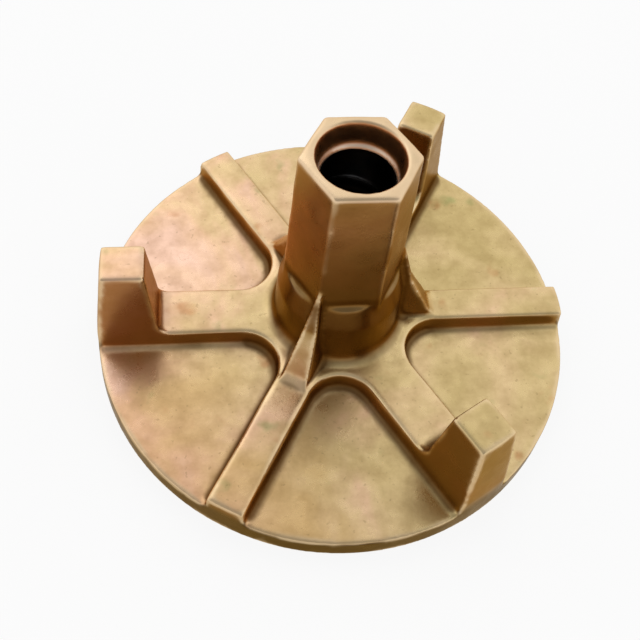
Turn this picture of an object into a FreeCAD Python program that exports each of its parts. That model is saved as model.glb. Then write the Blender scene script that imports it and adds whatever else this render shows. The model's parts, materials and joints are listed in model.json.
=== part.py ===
"""Formwork wing nut: one iron casting, drawn in millimetres.

The nut stands on its bearing face at Z = 0, with the bore on the Z axis.
A plain rib points along +X and a winged rib along -X.
"""

import FreeCAD, Part
import math
import os

import Sketcher

# Every driving size, written once. Lengths are in millimetres and angles in degrees.
SIZES = [
    ("plate_diameter", 120.0, "round plate at its bearing face"),
    ("plate_thickness", 6.5, "bearing face to the floor of the pockets between the ribs"),
    ("rib_rise", 5.0, "rib top above the plate"),
    ("wing_rib_width", 13.0, "top width of the three ribs that carry wings"),
    ("plain_rib_width", 9.2, "top width of the three ribs between them"),
    ("casting_draft", 4.0, "lean of pocket walls, wings and rim, so the pattern leaves the sand"),
    ("pocket_corner", 8.6, "plan radius of a pocket where it ends against the hub"),
    ("wing_top_height", 33.0, "bearing face to the top of a wing"),
    ("wing_foot_reach", 43.8, "axis to the inner face of a wing, at rib top level"),
    ("wing_face_lean", 4.5, "lean of the inner face of a wing"),
    ("wing_back_lean", 9.0, "lean of the outer face of a wing above its rib"),
    ("hub_height", 67.0, "bearing face to the end of the hub"),
    ("hub_flats_top", 22.6, "across the flats at the end of the hub"),
    ("hub_flats_foot", 26.0, "across the flats at rib top level"),
    ("foot_radius", 15.7, "round hub foot above its hollow"),
    ("foot_hollow_reach", 2.0, "how far the hollow round the hub's foot runs out on the rib tops"),
    ("foot_hollow_rise", 2.2, "how high that hollow climbs the hub's foot"),
    ("foot_hollow_bend", 0.7, "how far the two cones of the hollow meet from the corner they fill"),
    ("knee_radius", 15.2, "round hub foot where it starts to close in on the flats"),
    ("knee_height", 24.0, "bearing face to that knee"),
    ("shoulder_radius", 13.6, "hub foot at its top, where it stands out from the flats as a ledge"),
    ("shoulder_height", 30.5, "bearing face to that ledge"),
    ("gusset_foot_reach", 25.6, "axis to the foot of a gusset on a plain rib, at rib top level"),
    ("gusset_toe_reach", 23.6, "axis to where a gusset's flat toe turns up into its ramp"),
    ("gusset_toe_rise", 1.6, "rib tops to that turn"),
    ("gusset_ledge", 1.1, "how far the foot of a gusset keeps in from its rib's edges"),
    ("gusset_waist_height", 24.5, "bearing face to where the ramp turns steeper"),
    ("gusset_waist_reach", 17.6, "axis to the gusset at that height"),
    ("gusset_tip_height", 36.0, "bearing face to the tip of a gusset, on the hexagon's corner"),
    ("gusset_tip_reach", 14.3, "axis to the tip of a gusset"),
    ("gusset_tip_width", 1.0, "width of a gusset at its tip"),
    ("counterbore_mouth", 18.6, "counterbore diameter at the end of the hub"),
    ("counterbore_floor", 17.4, "counterbore diameter at its floor"),
    ("counterbore_depth", 6.0, "end of the hub to the counterbore floor"),
    ("bore_diameter", 15.6, "clear bore inside the thread"),
    ("bore_mouth", 1.5, "45 degree chamfer of the bore in the bearing face"),
    ("floor_fillet", 1.5, "hollow round the floor of each pocket"),
    ("rib_edge_round", 0.8, "rounded edges of ribs and wings"),
    ("wing_foot_fillet", 3.0, "hollow between a wing and its rib"),
    ("hub_edge_round", 0.7, "rounded corners of the hexagon and edges of its end"),
    ("rim_break", 0.6, "45 degree break of the edge round the bearing face"),
    ("cut_overrun", 8.0, "how far a cutting profile runs past what it cuts"),
]

PAIRS = 3  # pairs of one winged and one plain rib
RIB_STEP = 180 / PAIRS  # angle between neighbouring ribs
UP = FreeCAD.Vector(0, 0, 1)

FLOOR_Z = "Sizes.plate_thickness"
RIB_TOP_Z = "(Sizes.plate_thickness + Sizes.rib_rise)"
RIM_RADIUS = "(Sizes.plate_diameter / 2)"
LEAN = "tan(Sizes.casting_draft)"
GUSSET_FOOT_SIDE = "(Sizes.plain_rib_width / 2 - Sizes.gusset_ledge)"

doc = FreeCAD.newDocument("formwork_wing_nut")
sheet = doc.addObject("Spreadsheet::Sheet", "Sizes")
for row, (alias, value, meaning) in enumerate(SIZES, start=1):
    sheet.set(f"A{row}", alias)
    sheet.set(f"B{row}", str(value))
    sheet.set(f"C{row}", meaning)
    sheet.setAlias(f"B{row}", alias)
doc.recompute()


def present(expression):
    """Number that an expression of the sheet's sizes gives now."""
    value = sheet.evalExpression(expression)
    return float(getattr(value, "Value", value))


def origin_feature(body, role):
    """One of the body's own origin planes or axes."""
    return next(feature for feature in body.Origin.OriginFeatures if feature.Role == role)


def new_sketch(body, label, role, lift=None):
    """A sketch on an origin plane, raised along the plane's normal by an expression."""
    sketch = body.newObject("Sketcher::SketchObject", label)
    sketch.AttachmentSupport = (origin_feature(body, role), [""])
    sketch.MapMode = "FlatFace"
    if lift:
        sketch.setExpression("AttachmentOffset.Base.z", lift)
    return sketch


def bind(sketch, name, expression, kind, *where):
    """A named dimension of the sketch that follows an expression."""
    index = sketch.addConstraint(Sketcher.Constraint(kind, *where, present(expression)))
    sketch.renameConstraint(index, name)
    sketch.setExpression(f"Constraints.{name}", expression)


def profile(body, label, role, corners, lift=None):
    """A closed profile of straight edges. Each corner is (name, across, up), as expressions."""
    sketch = new_sketch(body, label, role, lift)
    places = [FreeCAD.Vector(present(across), present(up), 0) for _, across, up in corners]
    edges = []
    for start, end in zip(places, places[1:] + places[:1]):
        edges.append(sketch.addGeometry(Part.LineSegment(start, end), False))
    for edge, following in zip(edges, edges[1:] + edges[:1]):
        sketch.addConstraint(Sketcher.Constraint("Coincident", edge, 2, following, 1))
    for edge, (name, across, up) in zip(edges, corners):
        bind(sketch, f"{name}_across", across, "DistanceX", -1, 1, edge, 1)
        bind(sketch, f"{name}_up", up, "DistanceY", -1, 1, edge, 1)
    return sketch


def feature(body, kind, label, **properties):
    """A PartDesign feature with its properties set, made the tip of the body."""
    made = body.newObject(f"PartDesign::{kind}", label)
    for name, value in properties.items():
        setattr(made, name, value)
    body.Tip = made
    return made


def turned(body, kind, label, sketch):
    """A full turn of a profile about the Z axis: Revolution adds it and Groove cuts it."""
    made = feature(body, kind, label, Profile=sketch, ReferenceAxis=(sketch, ["V_Axis"]), Angle=360)
    sketch.Visibility = False
    return made


def round_edges(body, label, wanted, radius):
    """A fillet on every edge of the present solid that the test accepts."""
    doc.recompute()
    base = body.Tip
    names = [f"Edge{i}" for i, edge in enumerate(base.Shape.Edges, start=1)
             if wanted(edge) and is_corner(base.Shape, edge)]
    if not names:
        raise RuntimeError(f"{label}: no edge found")
    made = feature(body, "Fillet", label, Base=(base, names))
    made.setExpression("Radius", radius)
    doc.recompute()
    print(f"{label}: {len(names)} edges")
    return made


def reach(point):
    """Distance of a point from the Z axis."""
    return (point.x ** 2 + point.y ** 2) ** 0.5


def on_rim(point):
    """Whether a point lies on the leaning outside of plate, ribs and wings."""
    above_rib = max(point.z - present(RIB_TOP_Z), 0)
    rim = present(RIM_RADIUS) - (point.z - above_rib) * present(LEAN)
    rim -= above_rib * present("tan(Sizes.wing_back_lean)")
    return abs(reach(point) - rim) < 0.02


def middle(edge):
    """Point half way along an edge."""
    return edge.valueAt((edge.FirstParameter + edge.LastParameter) / 2)


def is_corner(solid, edge):
    """Whether two faces meet at an angle along an edge, not smoothly or at a seam."""
    faces = solid.ancestorsOfType(edge, Part.Face)
    if len(faces) < 2:
        return False
    normals = []
    for face in faces:
        u, v = face.Surface.parameter(middle(edge))
        normals.append(face.normalAt(u, v))
    return normals[0].getAngle(normals[1]) > math.radians(10)


def near(value, expression, margin=0.01):
    """Whether a number lies where an expression puts it."""
    return abs(value - present(expression)) < margin


def lean_faces(body, label, wanted, angle):
    """Draft on every face that the test accepts, hinged on the rib top level."""
    doc.recompute()
    base = body.Tip
    names = [f"Face{i}" for i, face in enumerate(base.Shape.Faces, start=1) if wanted(face)]
    if not names:
        raise RuntimeError(f"{label}: no face found")
    made = feature(body, "Draft", label, Base=(base, names), NeutralPlane=(rib_top_level, [""]))
    made.setExpression("Angle", angle)
    doc.recompute()
    print(f"{label}: {len(names)} faces")
    return made


def face_normal(face):
    """Outward normal of a face at the middle of its parameter range."""
    u_low, u_high, v_low, v_high = face.ParameterRange
    return face.normalAt((u_low + u_high) / 2, (v_low + v_high) / 2)


def upright(face):
    """Whether a face stands straight up."""
    return abs(face_normal(face).z) < 0.001


def hub_hexagon(body):
    """Drafted hexagon with its corners over the ribs. It starts inside the hub's foot."""
    radius = "Sizes.hub_flats_foot / sqrt(3)"
    corners = []
    for index in range(6):
        turn = 60 * index
        corners.append((f"corner{index}", f"{radius} * cos({turn})", f"{radius} * sin({turn})"))
    sketch = profile(body, "HexagonOutline", "XY_Plane", corners, RIB_TOP_Z)
    pad = feature(body, "Pad", "Hexagon", Profile=sketch)
    pad.setExpression("Length", f"Sizes.hub_height - {RIB_TOP_Z}")
    sketch.Visibility = False
    half_lost = "(Sizes.hub_flats_foot - Sizes.hub_flats_top) / 2"
    lean_faces(body, "HexagonDraft", upright, f"atan({half_lost} / (Sizes.hub_height - {RIB_TOP_Z}))")

    def corner_or_end_edge(edge):
        climbs = abs(edge.tangentAt(edge.FirstParameter).z) > 0.9
        return climbs or near(middle(edge).z, "Sizes.hub_height")

    round_edges(body, "HexagonEdges", corner_or_end_edge, "Sizes.hub_edge_round")


def gussets(body):
    """A wedge on each hexagon corner over a plain rib, narrower upwards and cut to a bent ramp."""
    tip_side = "Sizes.gusset_tip_width / 2"
    across = [
        ("foot_right", f"-{GUSSET_FOOT_SIDE}", RIB_TOP_Z),
        ("foot_left", GUSSET_FOOT_SIDE, RIB_TOP_Z),
        ("tip_left", tip_side, "Sizes.gusset_tip_height"),
        ("tip_right", f"-{tip_side}", "Sizes.gusset_tip_height"),
    ]
    wedge = feature(body, "Pad", "Wedge", Profile=profile(body, "WedgeSection", "YZ_Plane", across))
    wedge.setExpression("Length", "Sizes.gusset_foot_reach")

    outside = "Sizes.gusset_foot_reach + Sizes.cut_overrun"
    below = f"{RIB_TOP_Z} - Sizes.cut_overrun"
    above = "Sizes.gusset_tip_height + Sizes.cut_overrun"
    ramp = [
        ("above_tip", "Sizes.gusset_tip_reach", above),
        ("tip", "Sizes.gusset_tip_reach", "Sizes.gusset_tip_height"),
        ("waist", "Sizes.gusset_waist_reach", "Sizes.gusset_waist_height"),
        ("toe", "Sizes.gusset_toe_reach", f"{RIB_TOP_Z} + Sizes.gusset_toe_rise"),
        ("foot", "Sizes.gusset_foot_reach", RIB_TOP_Z),
        ("below_foot", "Sizes.gusset_foot_reach", below),
        ("far_below", outside, below),
        ("far_above", outside, above),
    ]
    cut = feature(body, "Pocket", "Ramp", Profile=profile(body, "RampProfile", "XZ_Plane", ramp), Midplane=True)
    cut.setExpression("Length", "Sizes.plain_rib_width")
    feature(body, "PolarPattern", "Gussets", Originals=[wedge, cut], Axis=(origin_feature(body, "Z_Axis"), [""]),
            Angle=360, Occurrences=PAIRS)
    for made in (wedge, cut):
        made.Profile[0].Visibility = False


def cast_blank(body):
    """Thick disc with the hub's round foot on it. Its rim is cut to size later."""
    outside = f"{RIM_RADIUS} + Sizes.cut_overrun"
    corners = [
        ("centre", "0", "0"),
        ("rim_foot", outside, "0"),
        ("rim_top", outside, RIB_TOP_Z),
        ("hollow_end", "Sizes.foot_radius + Sizes.foot_hollow_reach", RIB_TOP_Z),
        ("hollow_bend", "Sizes.foot_radius + Sizes.foot_hollow_bend", f"{RIB_TOP_Z} + Sizes.foot_hollow_bend"),
        ("foot", "Sizes.foot_radius", f"{RIB_TOP_Z} + Sizes.foot_hollow_rise"),
        ("knee", "Sizes.knee_radius", "Sizes.knee_height"),
        ("shoulder", "Sizes.shoulder_radius", "Sizes.shoulder_height"),
        ("cap", "0", "Sizes.shoulder_height"),
    ]
    turned(body, "Revolution", "Blank", profile(body, "BlankProfile", "XZ_Plane", corners))


def pocket_outline(body):
    """Outline of the pocket between the plain rib along +X and the next winged rib."""
    sketch = new_sketch(body, "PocketOutline", "XY_Plane", FLOOR_Z)
    plain_side = "Sizes.plain_rib_width / 2"
    wing_side = "Sizes.wing_rib_width / 2"
    outside = f"{RIM_RADIUS} + 2 * Sizes.cut_overrun"
    step = FreeCAD.Rotation(UP, RIB_STEP)
    wing_way = step.multVec(FreeCAD.Vector(1, 0, 0))
    wing_off = step.multVec(FreeCAD.Vector(0, -1, 0))

    # First guesses, close to where the constraints will hold each edge.
    radius = present("Sizes.pocket_corner")
    far = present(outside)
    centre_y = present(plain_side) + radius
    wing_gap = present(wing_side) + radius
    centre_x = (wing_gap - centre_y * wing_off.y) / wing_off.x
    centre = FreeCAD.Vector(centre_x, centre_y, 0)
    plain_touch = centre - FreeCAD.Vector(0, radius, 0)
    wing_touch = centre - wing_off * radius
    plain_end = FreeCAD.Vector(far, plain_touch.y, 0)
    wing_end = wing_way * far + wing_off * present(wing_side)
    rim = Part.ArcOfCircle(Part.Circle(FreeCAD.Vector(), UP, far), 0.1, 0.9)
    inner_start = math.radians(90 + RIB_STEP)
    inner = Part.ArcOfCircle(Part.Circle(centre, UP, radius), inner_start, math.radians(270))

    plain_line = sketch.addGeometry(Part.LineSegment(plain_touch, plain_end), False)
    rim_arc = sketch.addGeometry(rim, False)
    wing_line = sketch.addGeometry(Part.LineSegment(wing_end, wing_touch), False)
    inner_arc = sketch.addGeometry(inner, False)
    sketch.addConstraint([
        Sketcher.Constraint("Coincident", rim_arc, 3, -1, 1),
        Sketcher.Constraint("Coincident", plain_line, 2, rim_arc, 1),
        Sketcher.Constraint("Coincident", rim_arc, 2, wing_line, 1),
        Sketcher.Constraint("Tangent", wing_line, 2, inner_arc, 1),
        Sketcher.Constraint("Tangent", inner_arc, 2, plain_line, 1),
        Sketcher.Constraint("Horizontal", plain_line),
        Sketcher.Constraint("Angle", plain_line, 2, wing_line, 1, math.radians(RIB_STEP)),
    ])
    bind(sketch, "plain_side", plain_side, "Distance", -1, 1, plain_line)
    bind(sketch, "wing_side", wing_side, "Distance", -1, 1, wing_line)
    bind(sketch, "outside", outside, "Radius", rim_arc)
    bind(sketch, "corner", "Sizes.pocket_corner", "Radius", inner_arc)
    return sketch


def rib_pockets(body):
    """Six pockets cut down to the plate, which leave the ribs between them."""
    sketch = pocket_outline(body)
    pocket = feature(body, "Pocket", "RibPocket", Profile=sketch, Reversed=True)
    pocket.setExpression("Length", "Sizes.shoulder_height")
    sketch.Visibility = False
    mirrored = doc.addObject("PartDesign::Mirrored", "OtherSideOfRib")
    mirrored.MirrorPlane = (origin_feature(body, "XZ_Plane"), [""])
    polar = doc.addObject("PartDesign::PolarPattern", "EveryRibPair")
    polar.Axis = (origin_feature(body, "Z_Axis"), [""])
    polar.Angle = 360
    polar.Occurrences = PAIRS
    feature(body, "MultiTransform", "RibPockets", Originals=[pocket], Transformations=[mirrored, polar])


def wings(body):
    """Three upright wings on every second rib. They run past the rim, which is cut later."""
    outside = f"-({RIM_RADIUS} + Sizes.cut_overrun / 2)"
    inside = "-Sizes.wing_foot_reach"
    half_width = "Sizes.wing_rib_width / 2"
    corners = [
        ("outer_right", outside, f"-{half_width}"),
        ("inner_right", inside, f"-{half_width}"),
        ("inner_left", inside, half_width),
        ("outer_left", outside, half_width),
    ]
    sketch = profile(body, "WingOutline", "XY_Plane", corners, FLOOR_Z)
    pad = feature(body, "Pad", "Wing", Profile=sketch)
    pad.setExpression("Length", f"Sizes.wing_top_height - {FLOOR_Z}")
    feature(body, "PolarPattern", "Wings", Originals=[pad], Axis=(origin_feature(body, "Z_Axis"), [""]),
            Angle=360, Occurrences=PAIRS)
    sketch.Visibility = False


def wall_draft(body):
    """Lean of the pocket walls and wings, by which the pattern leaves the sand."""

    def wing_inner_face(face):
        return upright(face) and near(reach(face.CenterOfMass), "Sizes.wing_foot_reach")

    def side_wall(face):
        at = face.CenterOfMass
        inside_rim = reach(at) < present(RIM_RADIUS)
        beyond_hub = reach(at) > present("Sizes.foot_radius")
        return upright(face) and inside_rim and beyond_hub and not wing_inner_face(face)

    lean_faces(body, "WallDraft", side_wall, "Sizes.casting_draft")
    lean_faces(body, "WingFaceDraft", wing_inner_face, "Sizes.wing_face_lean")


def rim_cut(body):
    """The leaning outside of plate, ribs and wings, and its broken foot edge, cut in one turn."""
    top = "(Sizes.wing_top_height + Sizes.cut_overrun)"
    outside = f"{RIM_RADIUS} + 2 * Sizes.cut_overrun"
    rib_end = f"({RIM_RADIUS} - {RIB_TOP_Z} * {LEAN})"
    corners = [
        ("below", f"{RIM_RADIUS} - Sizes.rim_break - Sizes.cut_overrun", "-Sizes.cut_overrun"),
        ("far_below", outside, "-Sizes.cut_overrun"),
        ("far_above", outside, top),
        ("above", f"{rib_end} - ({top} - {RIB_TOP_Z}) * tan(Sizes.wing_back_lean)", top),
        ("rib_end", rib_end, RIB_TOP_Z),
        ("broken", f"{RIM_RADIUS} - Sizes.rim_break * {LEAN}", "Sizes.rim_break"),
    ]
    turned(body, "Groove", "RimCut", profile(body, "RimProfile", "XZ_Plane", corners))


def rod_bore(body):
    """Tapered counterbore, clear bore and its chamfer, cut in one turn."""
    bore = "Sizes.bore_diameter / 2"
    mouth = "Sizes.counterbore_mouth / 2"
    floor = "Sizes.counterbore_floor / 2"
    floor_z = "Sizes.hub_height - Sizes.counterbore_depth"
    over = "Sizes.cut_overrun"
    corners = [
        ("axis_below", "0", f"-{over}"),
        ("chamfer_below", f"{bore} + Sizes.bore_mouth + {over}", f"-{over}"),
        ("chamfer_top", bore, "Sizes.bore_mouth"),
        ("bore_top", bore, floor_z),
        ("floor_rim", floor, floor_z),
        ("mouth_above", f"{mouth} + ({mouth} - {floor}) / Sizes.counterbore_depth * {over}",
         f"Sizes.hub_height + {over}"),
        ("axis_above", "0", f"Sizes.hub_height + {over}"),
    ]
    turned(body, "Groove", "RodBore", profile(body, "BoreProfile", "XZ_Plane", corners))


def cast_rounding(body):
    """Hollows first, then the outward edges, whose outlines the hollows have made smooth."""

    def pocket_floor(edge):
        at = middle(edge)
        return near(at.z, FLOOR_Z) and not on_rim(at)

    def wing_foot(edge):
        at = middle(edge)
        return near(at.z, RIB_TOP_Z) and near(reach(at), "Sizes.wing_foot_reach")

    def on_gusset(point):
        """Whether a point is on a gusset or at its foot."""
        plain_step = math.radians(2 * RIB_STEP)
        turn = math.atan2(point.y, point.x)
        off_rib = turn - plain_step * round(turn / plain_step)
        off_middle = abs(reach(point) * math.sin(off_rib))
        return (reach(point) < present("Sizes.gusset_foot_reach") + 0.01
                and off_middle < present(GUSSET_FOOT_SIDE) + 0.01)

    def rib_or_wing_edge(edge):
        at = middle(edge)
        clear_of_hub = reach(at) > present("Sizes.foot_radius + Sizes.foot_hollow_reach") + 0.01
        above_floor = at.z > present(RIB_TOP_Z) - 0.01
        return clear_of_hub and above_floor and not on_rim(at) and not on_gusset(at)

    round_edges(body, "PocketFloors", pocket_floor, "Sizes.floor_fillet")
    round_edges(body, "WingFeet", wing_foot, "Sizes.wing_foot_fillet")
    round_edges(body, "RibAndWingEdges", rib_or_wing_edge, "Sizes.rib_edge_round")


def check_document():
    """Stop if any object failed to build, before anything is written."""
    for item in doc.Objects:
        if "Invalid" in item.State or "Error" in item.State:
            raise RuntimeError(f"{item.Label} failed: {item.State}")


def write_part(body):
    """One STEP file for the body, named by its label, once its shape has been checked."""
    shape = body.Shape
    if shape.isNull() or not shape.isValid() or len(shape.Solids) != 1:
        raise RuntimeError(f"{body.Label} is not one valid solid")
    os.makedirs("parts", exist_ok=True)
    shape.exportStep(f"parts/{body.Label}.step")
    box = shape.optimalBoundingBox()
    print(f"{body.Label}: {shape.Volume / 1000:.1f} cm3, {len(shape.Faces)} faces,"
          f" {box.XLength:.1f} x {box.YLength:.1f} x {box.ZLength:.1f} mm")


body = doc.addObject("PartDesign::Body", "wing_nut")
body.Label = "wing_nut"
rib_top_level = body.newObject("PartDesign::Plane", "RibTopLevel")
rib_top_level.AttachmentSupport = (origin_feature(body, "XY_Plane"), [""])
rib_top_level.MapMode = "FlatFace"
rib_top_level.setExpression("AttachmentOffset.Base.z", RIB_TOP_Z)
hub_hexagon(body)
gussets(body)
cast_blank(body)
rib_pockets(body)
wings(body)
wall_draft(body)
rim_cut(body)
rod_bore(body)
cast_rounding(body)
doc.recompute()
check_document()
write_part(body)
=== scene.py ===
# %% [markdown]
# # A formwork wing nut, cast in iron and plated yellow
#
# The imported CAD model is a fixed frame: it already has the right shape and sizes.
# This script dresses it. The casting gets a sand-cast skin, its coarse thread and
# a zinc finish, and then a floor, lights and a camera.

# %% The frame
import json
import math

import bpy
import numpy as np
from mathutils import Matrix, Vector


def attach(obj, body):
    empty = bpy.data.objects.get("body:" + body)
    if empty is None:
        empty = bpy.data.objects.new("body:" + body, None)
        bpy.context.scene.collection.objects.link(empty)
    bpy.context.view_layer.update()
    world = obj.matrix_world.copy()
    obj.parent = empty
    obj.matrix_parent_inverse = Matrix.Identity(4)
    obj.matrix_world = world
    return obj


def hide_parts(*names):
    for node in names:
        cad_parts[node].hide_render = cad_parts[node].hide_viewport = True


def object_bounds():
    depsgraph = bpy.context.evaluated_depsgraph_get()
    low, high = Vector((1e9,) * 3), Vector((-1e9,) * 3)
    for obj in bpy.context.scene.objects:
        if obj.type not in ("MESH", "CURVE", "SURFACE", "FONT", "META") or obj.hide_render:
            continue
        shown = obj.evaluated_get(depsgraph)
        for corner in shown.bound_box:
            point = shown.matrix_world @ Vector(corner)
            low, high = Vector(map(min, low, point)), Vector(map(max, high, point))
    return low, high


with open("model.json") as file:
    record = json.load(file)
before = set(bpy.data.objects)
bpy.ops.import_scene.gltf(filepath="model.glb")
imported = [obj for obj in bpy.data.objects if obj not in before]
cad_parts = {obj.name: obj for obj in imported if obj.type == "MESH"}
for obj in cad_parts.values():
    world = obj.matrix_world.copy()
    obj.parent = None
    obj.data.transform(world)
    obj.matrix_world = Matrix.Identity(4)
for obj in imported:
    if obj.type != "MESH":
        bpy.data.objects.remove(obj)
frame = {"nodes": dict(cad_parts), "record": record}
cad_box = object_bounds()
cad_nut = frame["nodes"]["wing_nut"]
MM = 0.001
print("CAD box, mm:", [round(size / MM, 1) for size in cad_box[1] - cad_box[0]])

# %% [markdown]
# ## Sizes that come from the frame
#
# The record knows where the bore is. Its mount gives the clear radius inside the
# thread and the length of the wall, so the thread always sits where the bore does.

# %% The bore, as the record states it
bore = next(mount for mount in frame["record"]["mounts"] if mount["name"] == "rod_thread")
bore_radius = bore["dims"]["r_mm"] * MM
bore_length = bore["dims"]["length_mm"] * MM
bore_foot = bore["pos_m"][2]
hub_top = cad_box[1].z
print("bore radius and length, mm:", bore_radius / MM, bore_length / MM)


# %% A helper that makes one object the only one selected
def work_on(piece):
    """Operators act on all that is selected, so everything else is let go first."""
    bpy.ops.object.select_all(action="DESELECT")
    piece.select_set(True)
    bpy.context.view_layer.objects.active = piece


def apply_all_modifiers(piece):
    """Turns each modifier into real faces, in order."""
    work_on(piece)
    for modifier in list(piece.modifiers):
        bpy.ops.object.modifier_apply(modifier=modifier.name)


# %% [markdown]
# ## The casting
#
# The CAD node keeps its own mesh, so the work starts on a copy. Its triangles are
# loose, because each CAD face is meshed by itself, and merging by distance sews
# them into one closed skin.

# %% A copy of the casting, sewn together
casting = bpy.data.objects.new("casting", cad_nut.data.copy())
bpy.context.scene.collection.objects.link(casting)
work_on(casting)
bpy.ops.object.mode_set(mode="EDIT")
bpy.ops.mesh.select_all(action="SELECT")
bpy.ops.mesh.remove_doubles(threshold=0.002 * MM)
bpy.ops.object.mode_set(mode="OBJECT")
print("sewn casting:", len(casting.data.vertices), "points")

# %% [markdown]
# ## The thread
#
# The rod of such a nut has a coarse rolled thread with a 10 mm pitch. A bump map
# would look flat where the light rakes down the bore, so the groove is real: a
# plane in the groove's shape, narrower at its floor, is turned up round the axis
# by the Screw modifier, and a Boolean takes it out of the wall of the bore.

# %% A cutter in the shape of the thread's groove
THREAD_PITCH = 10.0 * MM
GROOVE_WIDTH = 5.6 * MM
GROOVE_DEPTH = 1.0 * MM
GROOVE_FLOOR_SHARE = 0.45
INSIDE_OVERLAP = 0.6 * MM
RUN_OUT = 1.0 * MM
STEPS_A_TURN = 72
turns = math.ceil((bore_length + THREAD_PITCH) / THREAD_PITCH)
groove_foot_z = bore_foot + bore_length - RUN_OUT - GROOVE_WIDTH / 2 - turns * THREAD_PITCH

bpy.ops.object.select_all(action="DESELECT")
bpy.ops.mesh.primitive_plane_add(size=1.0, rotation=(math.pi / 2, 0, 0))
cutter = bpy.context.object
cutter.name = "thread_cutter"
bpy.ops.object.transform_apply(location=False, rotation=True, scale=False)
bpy.ops.object.mode_set(mode="EDIT")
bpy.ops.transform.resize(value=(GROOVE_DEPTH + INSIDE_OVERLAP, 1, GROOVE_WIDTH))
middle_of_groove = bore_radius + (GROOVE_DEPTH - INSIDE_OVERLAP) / 2
bpy.ops.transform.translate(value=(middle_of_groove, 0, groove_foot_z))
bpy.ops.object.mode_set(mode="OBJECT")
for vertex in cutter.data.vertices:
    if vertex.co.x > bore_radius:
        vertex.co.z = groove_foot_z + GROOVE_FLOOR_SHARE * (vertex.co.z - groove_foot_z)
screw = cutter.modifiers.new("turn", "SCREW")
screw.axis = "Z"
screw.screw_offset = THREAD_PITCH
screw.iterations = turns
screw.steps = screw.render_steps = STEPS_A_TURN
screw.use_merge_vertices = False
apply_all_modifiers(cutter)
bpy.ops.object.mode_set(mode="EDIT")
bpy.ops.mesh.select_all(action="DESELECT")
bpy.ops.mesh.select_non_manifold()
bpy.ops.mesh.fill_holes(sides=4)
bpy.ops.mesh.select_all(action="SELECT")
bpy.ops.mesh.normals_make_consistent(inside=False)
bpy.ops.object.mode_set(mode="OBJECT")
print("cutter:", len(cutter.data.polygons), "faces,", turns, "turns")

# %% Cut the groove out of the bore
cut = casting.modifiers.new("thread", "BOOLEAN")
cut.object = cutter
cut.operation = "DIFFERENCE"
cut.solver = "EXACT"
apply_all_modifiers(casting)
bpy.data.objects.remove(cutter)
print("threaded casting:", len(casting.data.polygons), "faces")

# %% [markdown]
# ## Even faces
#
# Noise can only move points that are there, and the casting's flat faces have
# none in their middle. A voxel remesh lays a fine even net over the whole
# casting, and rounds of smoothing take out the small steps that such a net
# leaves along slanted edges. What is left is the soft edge of a sand casting.

# %% An even net, smoothed
NET_SIZE = 0.40 * MM
SMOOTH_ROUNDS = 16
net = casting.modifiers.new("even_net", "REMESH")
net.mode = "VOXEL"
net.voxel_size = NET_SIZE
net.use_smooth_shade = True
smooth = casting.modifiers.new("smooth", "SMOOTH")
smooth.factor = 0.5
smooth.iterations = SMOOTH_ROUNDS
apply_all_modifiers(casting)
print("even casting:", 2 * len(casting.data.polygons), "triangles")

# %% [markdown]
# ## The skin of a sand casting
#
# Iron poured into sand keeps the mould's surface: flat faces are never quite
# flat, and between the waves lie shallow dents of a few millimetres. Two
# Displace modifiers with cloud textures make both. They only push inwards, so
# the nut keeps its size. A vertex group holds them off the bearing face, which
# has to sit flat on the formwork, and off the thread, which has to take a rod.

# %% Where the skin is as cast
BEARING_FOOT = 1.5 * MM
BORE_SKIN = 2.0 * MM
points = np.array([vertex.co for vertex in casting.data.vertices])
from_axis = np.hypot(points[:, 0], points[:, 1])
as_cast = np.clip(points[:, 2] / BEARING_FOOT, 0, 1)
as_cast = as_cast * np.clip((from_axis - bore_radius - BORE_SKIN) / BORE_SKIN, 0, 1)
cast_group = casting.vertex_groups.new(name="as_cast")
for index, weight in enumerate(as_cast):
    cast_group.add([index], float(weight), "REPLACE")
print("share of points that are as cast:", round(float(as_cast.mean()), 2))

# %% Waves and dents
for name, wave_length, depth in (("waves", 18 * MM, 0.22 * MM), ("dents", 5 * MM, 0.07 * MM)):
    clouds = bpy.data.textures.new(name, "CLOUDS")
    clouds.noise_scale = wave_length
    clouds.noise_depth = 1
    push = casting.modifiers.new(name, "DISPLACE")
    push.texture = clouds
    push.texture_coords = "LOCAL"
    push.vertex_group = cast_group.name
    push.mid_level = 1.0
    push.strength = depth
apply_all_modifiers(casting)

# %% Fewer triangles where the skin is plain
# Decimate spends them on the edges, where the shape turns.
MOST_TRIANGLES = 190000
thin = casting.modifiers.new("thin_out", "DECIMATE")
thin.ratio = MOST_TRIANGLES / (2 * len(casting.data.polygons))
apply_all_modifiers(casting)
print("finished casting:", len(casting.data.polygons), "triangles")
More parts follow.
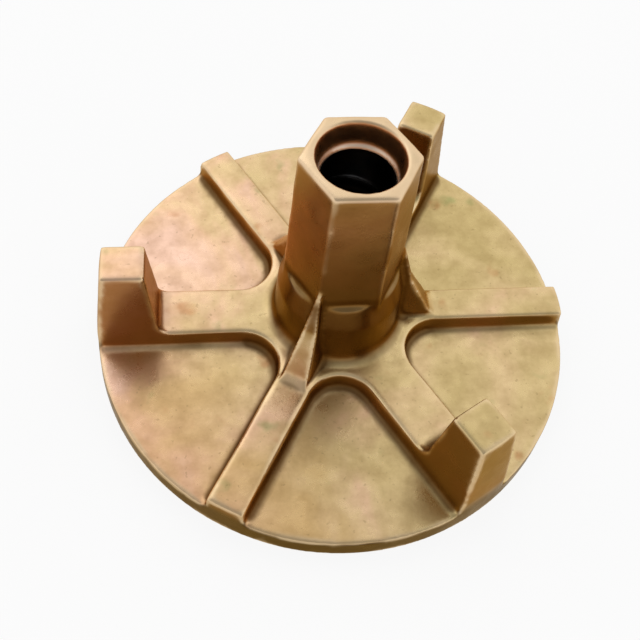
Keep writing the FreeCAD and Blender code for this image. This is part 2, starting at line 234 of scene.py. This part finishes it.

# %% [markdown]
# ## Where edges get a painted highlight and corners a painted shade
#
# Outer edges get a painted pale highlight, in part the wear of nuts that are
# shovelled and tumbled, and corners get a painted dark shade. A node can't see the
# shape around a point, so the turn of the skin is measured here for each point,
# smoothed a little and kept as an attribute that the material reads.

# %% The turn of the skin at each point
def skin_turn(mesh, rounds):
    """The mean turn of the skin per mm: above 0 on an outer edge and below 0 in a corner."""
    count = len(mesh.vertices)
    places = np.empty(count * 3)
    normals = np.empty(count * 3)
    ends = np.empty(len(mesh.edges) * 2, dtype=int)
    mesh.vertices.foreach_get("co", places)
    mesh.vertices.foreach_get("normal", normals)
    mesh.edges.foreach_get("vertices", ends)
    places, normals, ends = places.reshape(-1, 3) / MM, normals.reshape(-1, 3), ends.reshape(-1, 2)
    neighbours = np.bincount(ends.ravel(), minlength=count)
    turn = np.zeros(count)
    for here, there in ((ends[:, 0], ends[:, 1]), (ends[:, 1], ends[:, 0])):
        step = places[there] - places[here]
        bend = -2 * np.sum(normals[here] * step, axis=1) / np.sum(step * step, axis=1)
        turn += np.bincount(here, weights=bend, minlength=count)
    turn /= neighbours
    for _ in range(rounds):
        mean = np.bincount(ends[:, 0], weights=turn[ends[:, 1]], minlength=count)
        mean += np.bincount(ends[:, 1], weights=turn[ends[:, 0]], minlength=count)
        turn = 0.5 * turn + 0.5 * mean / neighbours
    return turn


# %% Keep it as an attribute
turn = skin_turn(casting.data, rounds=14)
turn_attribute = casting.data.attributes.new("skin_turn", "FLOAT", "POINT")
turn_attribute.data.foreach_set("value", turn.astype(np.float32))
print("turn per mm, 1% to 99%:", [round(float(v), 2) for v in np.percentile(turn, (1, 10, 50, 90, 99))])

# %% The casting takes the CAD node's place
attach(casting, "root")
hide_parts("wing_nut")
print("shown instead of wing_nut:", casting.name)

# %% [markdown]
# ## Colours and nodes
#
# Hex colours are easy to read and to share, but Blender's sockets take linear
# values, so one function turns them. A second one adds any node with its
# settings and links, which keeps each material short. It takes inputs by name or
# by number. Inputs 1 to 4 of Map Range are From Min, From Max, To Min and To Max.
# Inputs 6 and 7 of Mix are its two colours, and its output 2 is the mixed colour.


# %% Two helpers for materials
def linear(hex_colour):
    """An sRGB hex colour as linear red, green, blue and alpha."""
    channels = [int(hex_colour[i:i + 2], 16) / 255 for i in (1, 3, 5)]
    return [c / 12.92 if c <= 0.04045 else ((c + 0.055) / 1.055) ** 2.4 for c in channels] + [1.0]


def add_node(tree, kind, inputs=None, output=0, stops=None, **settings):
    """Adds a node and returns one output. An input is a value, or the output that feeds it."""
    node = tree.nodes.new(kind)
    for name, value in settings.items():
        setattr(node, name, value)
    for name, value in (inputs or {}).items():
        if isinstance(value, bpy.types.NodeSocket):
            tree.links.new(value, node.inputs[name])
        else:
            node.inputs[name].default_value = value
    if stops:
        elements = node.color_ramp.elements
        elements.remove(elements[1])
        elements[0].position = stops[0][0]
        elements[0].color = linear(stops[0][1])
        for position, hex_colour in stops[1:]:
            elements.new(position).color = linear(hex_colour)
    return node.outputs[output]


print("mid grey as linear:", round(linear("#808080")[0], 3))

# %% [markdown]
# ## Yellow zinc plating
#
# The nut is cast iron, electroplated with zinc and dipped in a yellow chromate
# bath. The eye gets a soft golden metal. The film's thickness changes over the
# casting, so its tint drifts from rose to olive, with a few orange and green
# blotches. Steep walls and the rim are painted brown as shade, corners get a
# painted dark shade, and edges a painted pale highlight that is partly wear. All
# patterns read the object's own coordinates, so that they stay on the metal when
# it turns.

# %% The film's tint
FILM_BLOTCH = 26 * MM
ROSE_SIDE = -55 * MM
OLIVE_SIDE = 45 * MM
OLIVE_TO_ROSE = [(0.30, "#D0B880"), (0.46, "#DDC38E"), (0.58, "#E6C898"),
                 (0.70, "#F0C8A4"), (0.82, "#F4CCB4")]
plating = bpy.data.materials.new("yellow_chromated_zinc_plating")
plating.use_nodes = True
tree = plating.node_tree
place = add_node(tree, "ShaderNodeTexCoord", output="Object")
across = add_node(tree, "ShaderNodeSeparateXYZ", {0: place}, "X")
height = add_node(tree, "ShaderNodeSeparateXYZ", {0: place}, "Z")
film_noise = add_node(tree, "ShaderNodeTexNoise",
                      {"Vector": place, "Scale": 1 / FILM_BLOTCH, "Detail": 4.0, "Distortion": 0.6}, "Fac")
drift = add_node(tree, "ShaderNodeMapRange",
                 {0: across, 1: ROSE_SIDE, 2: OLIVE_SIDE, 3: 0.20, 4: -0.12},
                 interpolation_type="SMOOTHSTEP")
film = add_node(tree, "ShaderNodeMath", {0: film_noise, 1: drift}, operation="ADD")
tint = add_node(tree, "ShaderNodeValToRGB", {0: film}, "Color", OLIVE_TO_ROSE)
print("film blotches, mm:", FILM_BLOTCH / MM)

# %% [markdown]
# A film that dries thicker turns orange. It does so towards one side of the
# plate, with a ragged border, because the film's own noise is added to the place
# before it is compared. Small blotches, mottling and pits lie over that.

# %% One side of the plate dried orange
WARM_FROM = 10 * MM
WARM_TO = -45 * MM
RAGGED = 90 * MM
along = add_node(tree, "ShaderNodeSeparateXYZ", {0: place}, "Y")
slantwise = add_node(tree, "ShaderNodeMath", {0: across, 1: along}, operation="ADD")
ragged = add_node(tree, "ShaderNodeMath", {0: film_noise, 1: RAGGED, 2: slantwise}, operation="MULTIPLY_ADD")
warm = add_node(tree, "ShaderNodeMapRange", {0: ragged, 1: WARM_FROM, 2: WARM_TO, 4: 0.34},
                interpolation_type="SMOOTHSTEP")
tint = add_node(tree, "ShaderNodeMix", {0: warm, 6: tint, 7: linear("#DDA066")}, 2, data_type="RGBA")
print("orange fades in over, mm:", round((WARM_FROM - WARM_TO) / MM))

# %% Orange and green blotches
BLOTCH = 9 * MM
for offset, hex_colour in (((0.31, 0.12, 0.0), "#C07A4A"), ((0.77, 0.40, 0.2), "#8FA062")):
    moved = add_node(tree, "ShaderNodeMapping", {"Vector": place, "Location": offset})
    spots = add_node(tree, "ShaderNodeTexNoise", {"Vector": moved, "Scale": 1 / BLOTCH, "Detail": 2.0}, "Fac")
    spot = add_node(tree, "ShaderNodeMapRange", {0: spots, 1: 0.66, 2: 0.80, 4: 0.5},
                    interpolation_type="SMOOTHSTEP")
    tint = add_node(tree, "ShaderNodeMix", {0: spot, 6: tint, 7: linear(hex_colour)}, 2, data_type="RGBA")
print("blotches, mm:", BLOTCH / MM)

# %% Mottling and pits
MOTTLE = 5 * MM
PIT = 1.1 * MM
mottle = add_node(tree, "ShaderNodeTexNoise",
                  {"Vector": place, "Scale": 1 / MOTTLE, "Detail": 5.0, "Roughness": 0.6}, "Fac")
shade = add_node(tree, "ShaderNodeValToRGB", {0: mottle}, "Color", [(0.30, "#C4B8A4"), (0.62, "#FFFFFF")])
tint = add_node(tree, "ShaderNodeMix", {0: 0.45, 6: tint, 7: shade}, 2,
                data_type="RGBA", blend_type="MULTIPLY")
pits = add_node(tree, "ShaderNodeTexNoise", {"Vector": place, "Scale": 1 / PIT, "Detail": 3.0}, "Fac")
pit = add_node(tree, "ShaderNodeMapRange", {0: pits, 1: 0.36, 2: 0.28, 4: 0.25},
               interpolation_type="SMOOTHSTEP")
tint = add_node(tree, "ShaderNodeMix", {0: pit, 6: tint, 7: linear("#6E5430")}, 2, data_type="RGBA")
print("mottling and pits, mm:", MOTTLE / MM, PIT / MM)

# %% [markdown]
# Steep walls are painted brown as shade, in tones that follow the film. How steep
# the skin stands is the upright part of its normal. The rim of the plate gets a
# darker painted shade still, held to the outermost skin by distance and height.

# %% Painted shade on steep walls and the rim
RIM_SHADE_BAND = 2.0 * MM
RIM_TOP = 6.5 * MM
normal = add_node(tree, "ShaderNodeNewGeometry", output="Normal")
upright = add_node(tree, "ShaderNodeSeparateXYZ", {0: normal}, "Z")
flatness = add_node(tree, "ShaderNodeMath", {0: upright}, operation="ABSOLUTE")
# Steep walls are painted brown as shade.
wall = add_node(tree, "ShaderNodeMapRange", {0: flatness, 1: 0.85, 2: 0.25, 4: 0.92},
                interpolation_type="SMOOTHSTEP")
brown = add_node(tree, "ShaderNodeValToRGB", {0: film}, "Color",
                 [(0.40, "#89612A"), (0.60, "#95632C"), (0.80, "#9D6636")])
tint = add_node(tree, "ShaderNodeMix", {0: wall, 6: tint, 7: brown}, 2, data_type="RGBA")
# The rim of the plate gets a darker painted shade, held to its outermost skin.
flat_place = add_node(tree, "ShaderNodeVectorMath", {0: place, 1: (1, 1, 0)}, operation="MULTIPLY")
from_centre = add_node(tree, "ShaderNodeVectorMath", {0: flat_place}, "Value", operation="LENGTH")
rim = add_node(tree, "ShaderNodeMapRange",
               {0: from_centre, 1: cad_box[1].x - RIM_SHADE_BAND, 2: cad_box[1].x - RIM_SHADE_BAND / 2},
               interpolation_type="SMOOTHSTEP")
low = add_node(tree, "ShaderNodeMapRange", {0: height, 1: 2 * RIM_TOP, 2: RIM_TOP},
               interpolation_type="SMOOTHSTEP")
for limit in (wall, low):
    rim = add_node(tree, "ShaderNodeMath", {0: rim, 1: limit}, operation="MULTIPLY")
tint = add_node(tree, "ShaderNodeMix", {0: rim, 6: tint, 7: linear("#402C1A")}, 2, data_type="RGBA")
print("rim film, mm:", RIM_SHADE_BAND / MM)

# %% Painted shade in corners and painted highlight on edges
EDGE_HIGHLIGHT_PATCH = 8 * MM
skin = add_node(tree, "ShaderNodeAttribute", None, "Fac", attribute_name="skin_turn")
# Corners are painted dark brown as shade.
corner = add_node(tree, "ShaderNodeMapRange", {0: skin, 1: -0.04, 2: -0.28, 4: 0.88},
                  interpolation_type="SMOOTHSTEP")
tint = add_node(tree, "ShaderNodeMix", {0: corner, 6: tint, 7: linear("#5C3A12")}, 2, data_type="RGBA")
# Outer edges get a painted pale highlight in patches, partly as wear.
patches = add_node(tree, "ShaderNodeTexNoise",
                   {"Vector": place, "Scale": 1 / EDGE_HIGHLIGHT_PATCH, "Detail": 1.0}, "Fac")
uneven = add_node(tree, "ShaderNodeMapRange", {0: patches, 1: 0.35, 2: 0.65, 3: 0.45, 4: 1.0},
                  interpolation_type="SMOOTHSTEP")
patchy_highlight_and_wear = add_node(tree, "ShaderNodeMath", {0: skin, 1: uneven}, operation="MULTIPLY")
edge = add_node(tree, "ShaderNodeMapRange", {0: patchy_highlight_and_wear, 1: 0.06, 2: 0.36, 4: 0.62},
                interpolation_type="SMOOTHSTEP")
tint = add_node(tree, "ShaderNodeMix", {0: edge, 6: tint, 7: linear("#EBD0A6")}, 2, data_type="RGBA")
print("attributes the material can read:", [attribute.name for attribute in casting.data.attributes])

# %% [markdown]
# The hub's foot and the ledges round it are painted dark as shade, and the other
# end of the hub gets a painted pale highlight. The foot's mask is by height and by
# distance from the axis, the end's by height alone, each with a soft border.

# %% Painted shade on the hub's foot and its ledges
LEDGE_TOP = 32 * MM
FOOT_REACH = 15.5 * MM
SOFT = 2 * MM
# The hub below the ledges, near the axis, is painted dark as shade.
foot_shade = add_node(tree, "ShaderNodeMapRange", {0: height, 1: LEDGE_TOP + SOFT, 2: LEDGE_TOP, 4: 0.8},
                 interpolation_type="SMOOTHSTEP")
inner = add_node(tree, "ShaderNodeMapRange", {0: from_centre, 1: FOOT_REACH + SOFT, 2: FOOT_REACH},
                 interpolation_type="SMOOTHSTEP")
foot_shade = add_node(tree, "ShaderNodeMath", {0: foot_shade, 1: inner}, operation="MULTIPLY")
tint = add_node(tree, "ShaderNodeMix", {0: foot_shade, 6: tint, 7: linear("#6E4A1E")}, 2, data_type="RGBA")
print("grime up to, mm:", LEDGE_TOP / MM)

# %% The end of the hub, painted with a pale highlight
END_DEPTH = 1.2 * MM
# The end of the hub gets a painted pale highlight.
end = add_node(tree, "ShaderNodeMapRange",
               {0: height, 1: hub_top - END_DEPTH, 2: hub_top - END_DEPTH / 2, 4: 0.6},
               interpolation_type="SMOOTHSTEP")
tint = add_node(tree, "ShaderNodeMix", {0: end, 6: tint, 7: linear("#EDCFAE")}, 2, data_type="RGBA")
print("rubbed end, mm:", END_DEPTH / MM)

# %% [markdown]
# The counterbore at the hub's end has a coppery wall, kept from wear. Its floor,
# the ring where the rod's thread begins, gets a nearly white painted highlight.

# %% The counterbore's wall and floor
COUNTERBORE_EDGE = bore_radius + 1.8 * MM
COUNTERBORE_FLOOR = bore_foot + bore_length
# The counterbore's floor gets a nearly white painted highlight.
ring_highlight = add_node(tree, "ShaderNodeMapRange",
                      {0: height, 1: COUNTERBORE_FLOOR + 0.8 * MM, 2: COUNTERBORE_FLOOR + 0.3 * MM},
                      interpolation_type="SMOOTHSTEP")
inner_tint = add_node(tree, "ShaderNodeMix", {0: ring_highlight, 6: linear("#D29A68"), 7: linear("#F2DCC8")}, 2,
                      data_type="RGBA")
counterbore_wall_and_floor = add_node(tree, "ShaderNodeMapRange",
                     {0: from_centre, 1: COUNTERBORE_EDGE, 2: COUNTERBORE_EDGE - 0.4 * MM, 4: 0.9},
                     interpolation_type="SMOOTHSTEP")
tint = add_node(tree, "ShaderNodeMix", {0: counterbore_wall_and_floor, 6: tint, 7: inner_tint}, 2, data_type="RGBA")
print("counterbore floor at, mm:", COUNTERBORE_FLOOR / MM)

# %% [markdown]
# Plating follows the grain of the moulding sand, so its shine is soft, and softer
# still in corners. The sand is about 0.25 mm fine, which would be lost at the size
# of a picture, so the grain is drawn coarser than it is.

# %% Roughness, grain and shader
GRAIN = 0.7 * MM
rough = add_node(tree, "ShaderNodeMapRange", {0: mottle, 1: 0.3, 2: 0.7, 3: 0.34, 4: 0.26},
                 interpolation_type="SMOOTHSTEP")
rough = add_node(tree, "ShaderNodeMath", {0: corner, 1: 0.2, 2: rough}, operation="MULTIPLY_ADD")
grain = add_node(tree, "ShaderNodeTexNoise", {"Vector": place, "Scale": 1 / GRAIN, "Detail": 2.0}, "Fac")
relief = add_node(tree, "ShaderNodeMath", {0: mottle, 1: 1.5, 2: grain}, operation="MULTIPLY_ADD")
bump = add_node(tree, "ShaderNodeBump", {"Height": relief, "Strength": 0.11, "Distance": 0.12 * MM}, "Normal")
shader = tree.nodes["Principled BSDF"]
shader.inputs["Metallic"].default_value = 1.0
shader.inputs["Specular Tint"].default_value = linear("#EAD6B8")
tree.links.new(tint, shader.inputs["Base Color"])
tree.links.new(rough, shader.inputs["Roughness"])
tree.links.new(bump, shader.inputs["Normal"])
print("plating nodes:", len(tree.nodes))

# %% [markdown]
# ## The dark thread
#
# The bore and its thread get a metal of their own: a nearly black iron, smeared a
# little browner in places.

# %% Nearly black iron in the bore
SMEAR = 6 * MM
dark_bore_metal = bpy.data.materials.new("nearly_black_bore_iron")
dark_bore_metal.use_nodes = True
tree = dark_bore_metal.node_tree
place = add_node(tree, "ShaderNodeTexCoord", output="Object")
smear = add_node(tree, "ShaderNodeTexNoise", {"Vector": place, "Scale": 1 / SMEAR, "Detail": 3.0}, "Fac")
# The metal of the bore is nearly black.
tint = add_node(tree, "ShaderNodeValToRGB", {0: smear}, "Color", [(0.35, "#26262A"), (0.70, "#3E342A")])
rough = add_node(tree, "ShaderNodeMapRange", {0: smear, 1: 0.3, 2: 0.7, 3: 0.30, 4: 0.48})
shader = tree.nodes["Principled BSDF"]
shader.inputs["Metallic"].default_value = 1.0
tree.links.new(tint, shader.inputs["Base Color"])
tree.links.new(rough, shader.inputs["Roughness"])

# %% Give each face its metal
casting.data.materials.clear()
casting.data.materials.append(plating)
casting.data.materials.append(dark_bore_metal)
thread_reach = bore_radius + GROOVE_DEPTH + 0.2 * MM
thread_end = COUNTERBORE_FLOOR - 0.5 * MM
dark_bore_faces = 0
for face in casting.data.polygons:
    reach = math.hypot(face.center.x, face.center.y)
    if reach < thread_reach and bore_foot < face.center.z < thread_end:
        face.material_index = 1
        dark_bore_faces += 1
print("oiled faces:", dark_bore_faces)

# %% [markdown]
# ## Floor, light and camera
#
# The floor is plain white paper. For camera and mirror rays most of its light is
# its own, so that it shows as white and still keeps the nut's shadow.

# %% Floor
GLOW_SHARE = 0.88
bpy.ops.object.select_all(action="DESELECT")
bpy.ops.mesh.primitive_plane_add(size=6.0, location=(0, 0, cad_box[0].z))
floor = bpy.context.object
floor.name = "floor"
paper = bpy.data.materials.new("white_paper")
paper.use_nodes = True
tree = paper.node_tree
seen = add_node(tree, "ShaderNodeLightPath", output="Is Camera Ray")
for kind_of_ray in ("Is Glossy Ray", "Is Transmission Ray"):
    more = add_node(tree, "ShaderNodeLightPath", output=kind_of_ray)
    seen = add_node(tree, "ShaderNodeMath", {0: seen, 1: more}, operation="MAXIMUM")
share = add_node(tree, "ShaderNodeMath", {0: seen, 1: GLOW_SHARE}, operation="MULTIPLY")
glow = add_node(tree, "ShaderNodeEmission", {"Color": linear("#FFFFFF"), "Strength": 1.0})
sheet = tree.nodes["Principled BSDF"]
sheet.inputs["Base Color"].default_value = linear("#FAFAFA")
sheet.inputs["Roughness"].default_value = 0.9
both = add_node(tree, "ShaderNodeMixShader", {0: share, 1: sheet.outputs[0], 2: glow})
tree.links.new(both, tree.nodes["Material Output"].inputs["Surface"])
floor.data.materials.append(paper)
print("floor, m:", [round(size, 1) for size in floor.dimensions])

# %% [markdown]
# The studio is white all round, like a light tent, so the metal has something
# pale to mirror. Only the patch of sky in front is dimmer, which keeps the walls
# that face forward brown. A soft box from the back left lights the upper faces.

# %% A soft studio
SKY_BRIGHT = 1.0
SKY_DIM = 0.40
world = bpy.data.worlds.new("studio")
bpy.context.scene.world = world
world.use_nodes = True
tree = world.node_tree
toward = add_node(tree, "ShaderNodeTexCoord", output="Generated")
dim_side = Vector((-0.11, -0.52, 0.85)).normalized()
facing = add_node(tree, "ShaderNodeVectorMath", {0: toward, 1: dim_side}, "Value", operation="DOT_PRODUCT")
strength = add_node(tree, "ShaderNodeMapRange", {0: facing, 1: 0.50, 2: 0.93, 3: SKY_BRIGHT, 4: SKY_DIM},
                    interpolation_type="SMOOTHSTEP")
sky = tree.nodes["Background"]
sky.inputs["Color"].default_value = linear("#FFFFFF")
tree.links.new(strength, sky.inputs["Strength"])
print("sky, bright to dim:", SKY_BRIGHT, SKY_DIM)

# %% The soft box
BOX_SIZE = 0.8
BOX_WATTS = 0.65
box_place = Vector((-0.45, 0.75, 0.75))
box_aim = Vector((0, 0, 0.02))
box_data = bpy.data.lights.new("soft_box", "AREA")
box_data.size = BOX_SIZE
box_data.energy = BOX_WATTS
soft_box = bpy.data.objects.new("soft_box", box_data)
bpy.context.scene.collection.objects.link(soft_box)
soft_box.location = box_place
soft_box.rotation_euler = (box_aim - box_place).to_track_quat("-Z", "Y").to_euler()
print("soft box, m from the nut:", round((box_aim - box_place).length, 2))

# %% [markdown]
# The camera looks down on the nut from in front and a little to its left, close
# by and slightly turned. Its place is written as an angle round the nut, an angle
# above the floor and a distance. Two small shifts of the aim set the framing.

# %% Camera
CAMERA_AZIMUTH = math.radians(-12.25)
CAMERA_ELEVATION = math.radians(58.22)
CAMERA_ROLL = math.radians(8.53)
CAMERA_DISTANCE = 222.49 * MM
AIM_RIGHT = 3.03 * MM
AIM_UP = -2.48 * MM
LENS = 47.18
back = Vector((math.sin(CAMERA_AZIMUTH) * math.cos(CAMERA_ELEVATION),
               -math.cos(CAMERA_AZIMUTH) * math.cos(CAMERA_ELEVATION),
               math.sin(CAMERA_ELEVATION)))
level_right = Vector((math.cos(CAMERA_AZIMUTH), math.sin(CAMERA_AZIMUTH), 0))
level_up = back.cross(level_right)
right = math.cos(CAMERA_ROLL) * level_right + math.sin(CAMERA_ROLL) * level_up
up = -math.sin(CAMERA_ROLL) * level_right + math.cos(CAMERA_ROLL) * level_up
camera_data = bpy.data.cameras.new("camera")
camera_data.sensor_width = 36
camera_data.lens = LENS
camera_data.clip_start = 0.01
camera = bpy.data.objects.new("camera", camera_data)
bpy.context.scene.collection.objects.link(camera)
stand = -AIM_RIGHT * right - AIM_UP * up + CAMERA_DISTANCE * back
camera.matrix_world = Matrix.Translation(stand) @ Matrix((right, up, back)).transposed().to_4x4()
bpy.context.scene.camera = camera
bpy.context.scene.view_settings.view_transform = "Standard"
print("camera at, mm:", [round(value / MM, 1) for value in stand])
